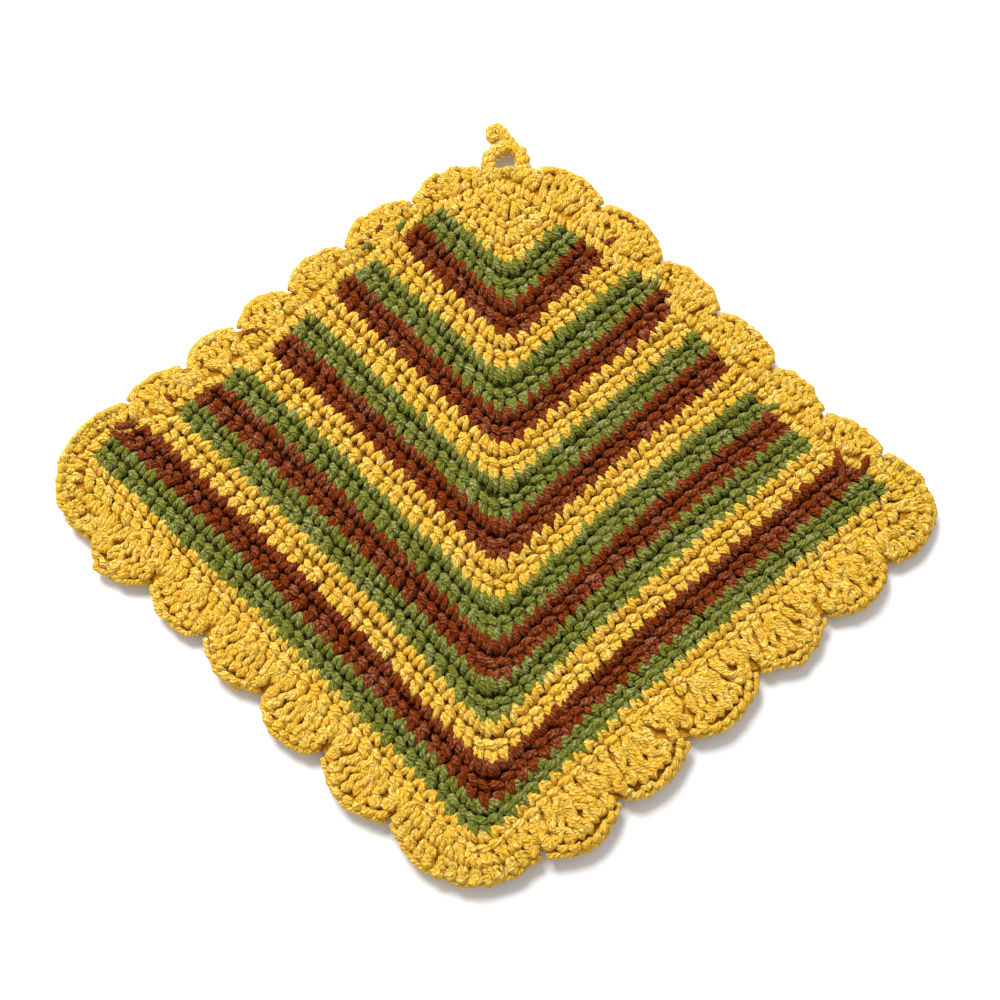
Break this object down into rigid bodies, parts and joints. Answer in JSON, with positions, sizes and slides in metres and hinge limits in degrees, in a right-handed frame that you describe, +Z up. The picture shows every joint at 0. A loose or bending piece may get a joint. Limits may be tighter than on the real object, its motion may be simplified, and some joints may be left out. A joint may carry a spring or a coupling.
{
  "type": "crocheted pot holder",
  "caption": "Square crocheted pot holder with V-shaped stripes, a scalloped shell edging and a small hanging loop at one corner.",
  "frame": {"origin": "middle of the outline's box, on the surface that the cloth lies on", "axes": "+Z up out of the cloth, +Y towards the corner with the hanging loop, +X to the right along the longer diagonal"},
  "size_m": [0.1483, 0.1417, 0.0038],
  "materials": {
    "striped_yarn": "single crochet in yellow, olive green and rust plied yarn",
    "edging_yarn": "crocheted shells in yellow plied yarn",
    "loop_yarn": "crocheted chain in yellow plied yarn"
  },
  "bodies": {
    "root": {"panel": "striped_yarn", "scalloped_border": "edging_yarn", "hanging_loop": "loop_yarn"}
  },
  "joints": []
}
